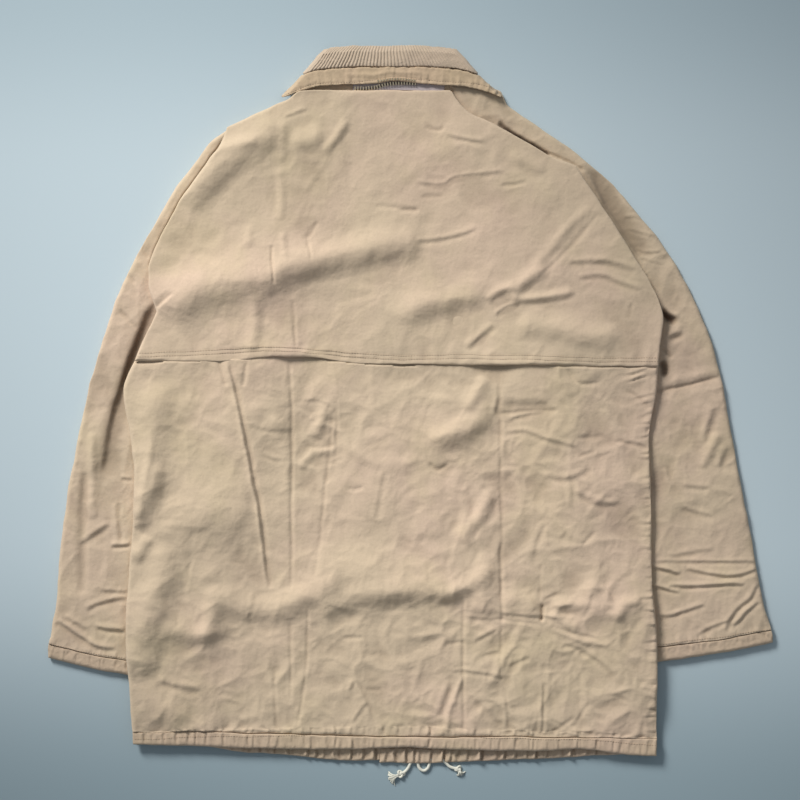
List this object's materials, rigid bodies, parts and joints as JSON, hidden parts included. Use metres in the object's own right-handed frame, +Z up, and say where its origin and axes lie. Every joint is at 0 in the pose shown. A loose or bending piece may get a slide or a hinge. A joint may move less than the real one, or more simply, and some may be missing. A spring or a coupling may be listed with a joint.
{
  "type": "parka",
  "caption": "Hip-length padded cotton parka laid flat, back upwards, with storm flap yoke, raglan sleeves, turned-down rib collar, hem channel and drawcord.",
  "frame": {"origin": "on the floor under the middle of the garment, its drawcord ends left out", "axes": "+Y from the hem to the collar, +Z up out of the back, +X to the wearer's right sleeve"},
  "size_m": [0.8688, 0.8817, 0.0288],
  "materials": {
    "shell": "matt khaki cotton over thin padding",
    "shell_hem": "matt khaki cotton, gathered and stitched",
    "rib_knit": "khaki rib knit",
    "zip_tape": "woven grey tape",
    "zip_metal": "dull light brass",
    "thread": "sewing thread a little darker than the cloth",
    "cord": "cream braided cotton cord"
  },
  "bodies": {
    "root": {"back_panel": "shell", "storm_flap": "shell", "back_hem": "shell_hem", "front_left": "shell", "front_right": "shell", "front_hem_left": "shell_hem", "front_hem_right": "shell_hem", "front_zip": "zip_tape", "sleeve_left": "shell", "sleeve_right": "shell", "cuff_left": "shell_hem", "cuff_right": "shell_hem", "collar_stand": "shell", "collar_rib": "rib_knit", "collar_band": "shell", "hood_zip": "zip_tape", "drawcord_left": "cord", "drawcord_loop": "cord", "drawcord_right": "cord", "knot_left": "cord", "knot_right": "cord"}
  },
  "joints": []
}
